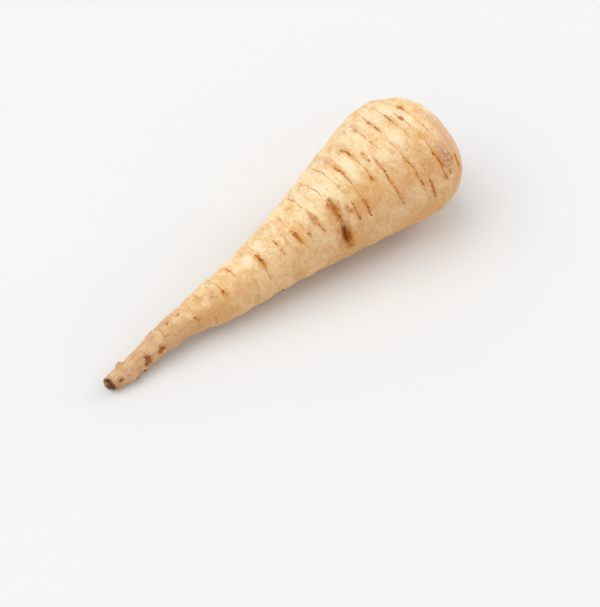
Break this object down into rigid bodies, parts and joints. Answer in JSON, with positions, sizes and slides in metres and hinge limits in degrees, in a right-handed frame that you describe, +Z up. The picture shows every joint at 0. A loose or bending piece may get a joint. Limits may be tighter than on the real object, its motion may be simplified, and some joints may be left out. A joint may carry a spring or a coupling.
{
  "type": "parsnip",
  "caption": "Whole parsnip taproot with its leaves trimmed off, creased round its tapering body, lying on its side.",
  "frame": {"origin": "centre of the bounding box's bottom, on the surface that the root lies on", "axes": "+X along the root towards its crown, +Z up; the broken tip points to -X"},
  "size_m": [0.2192, 0.0682, 0.0667],
  "materials": {
    "skin": "satin cream skin with tan creases"
  },
  "bodies": {
    "root": {"parsnip_root": "skin"}
  },
  "joints": []
}
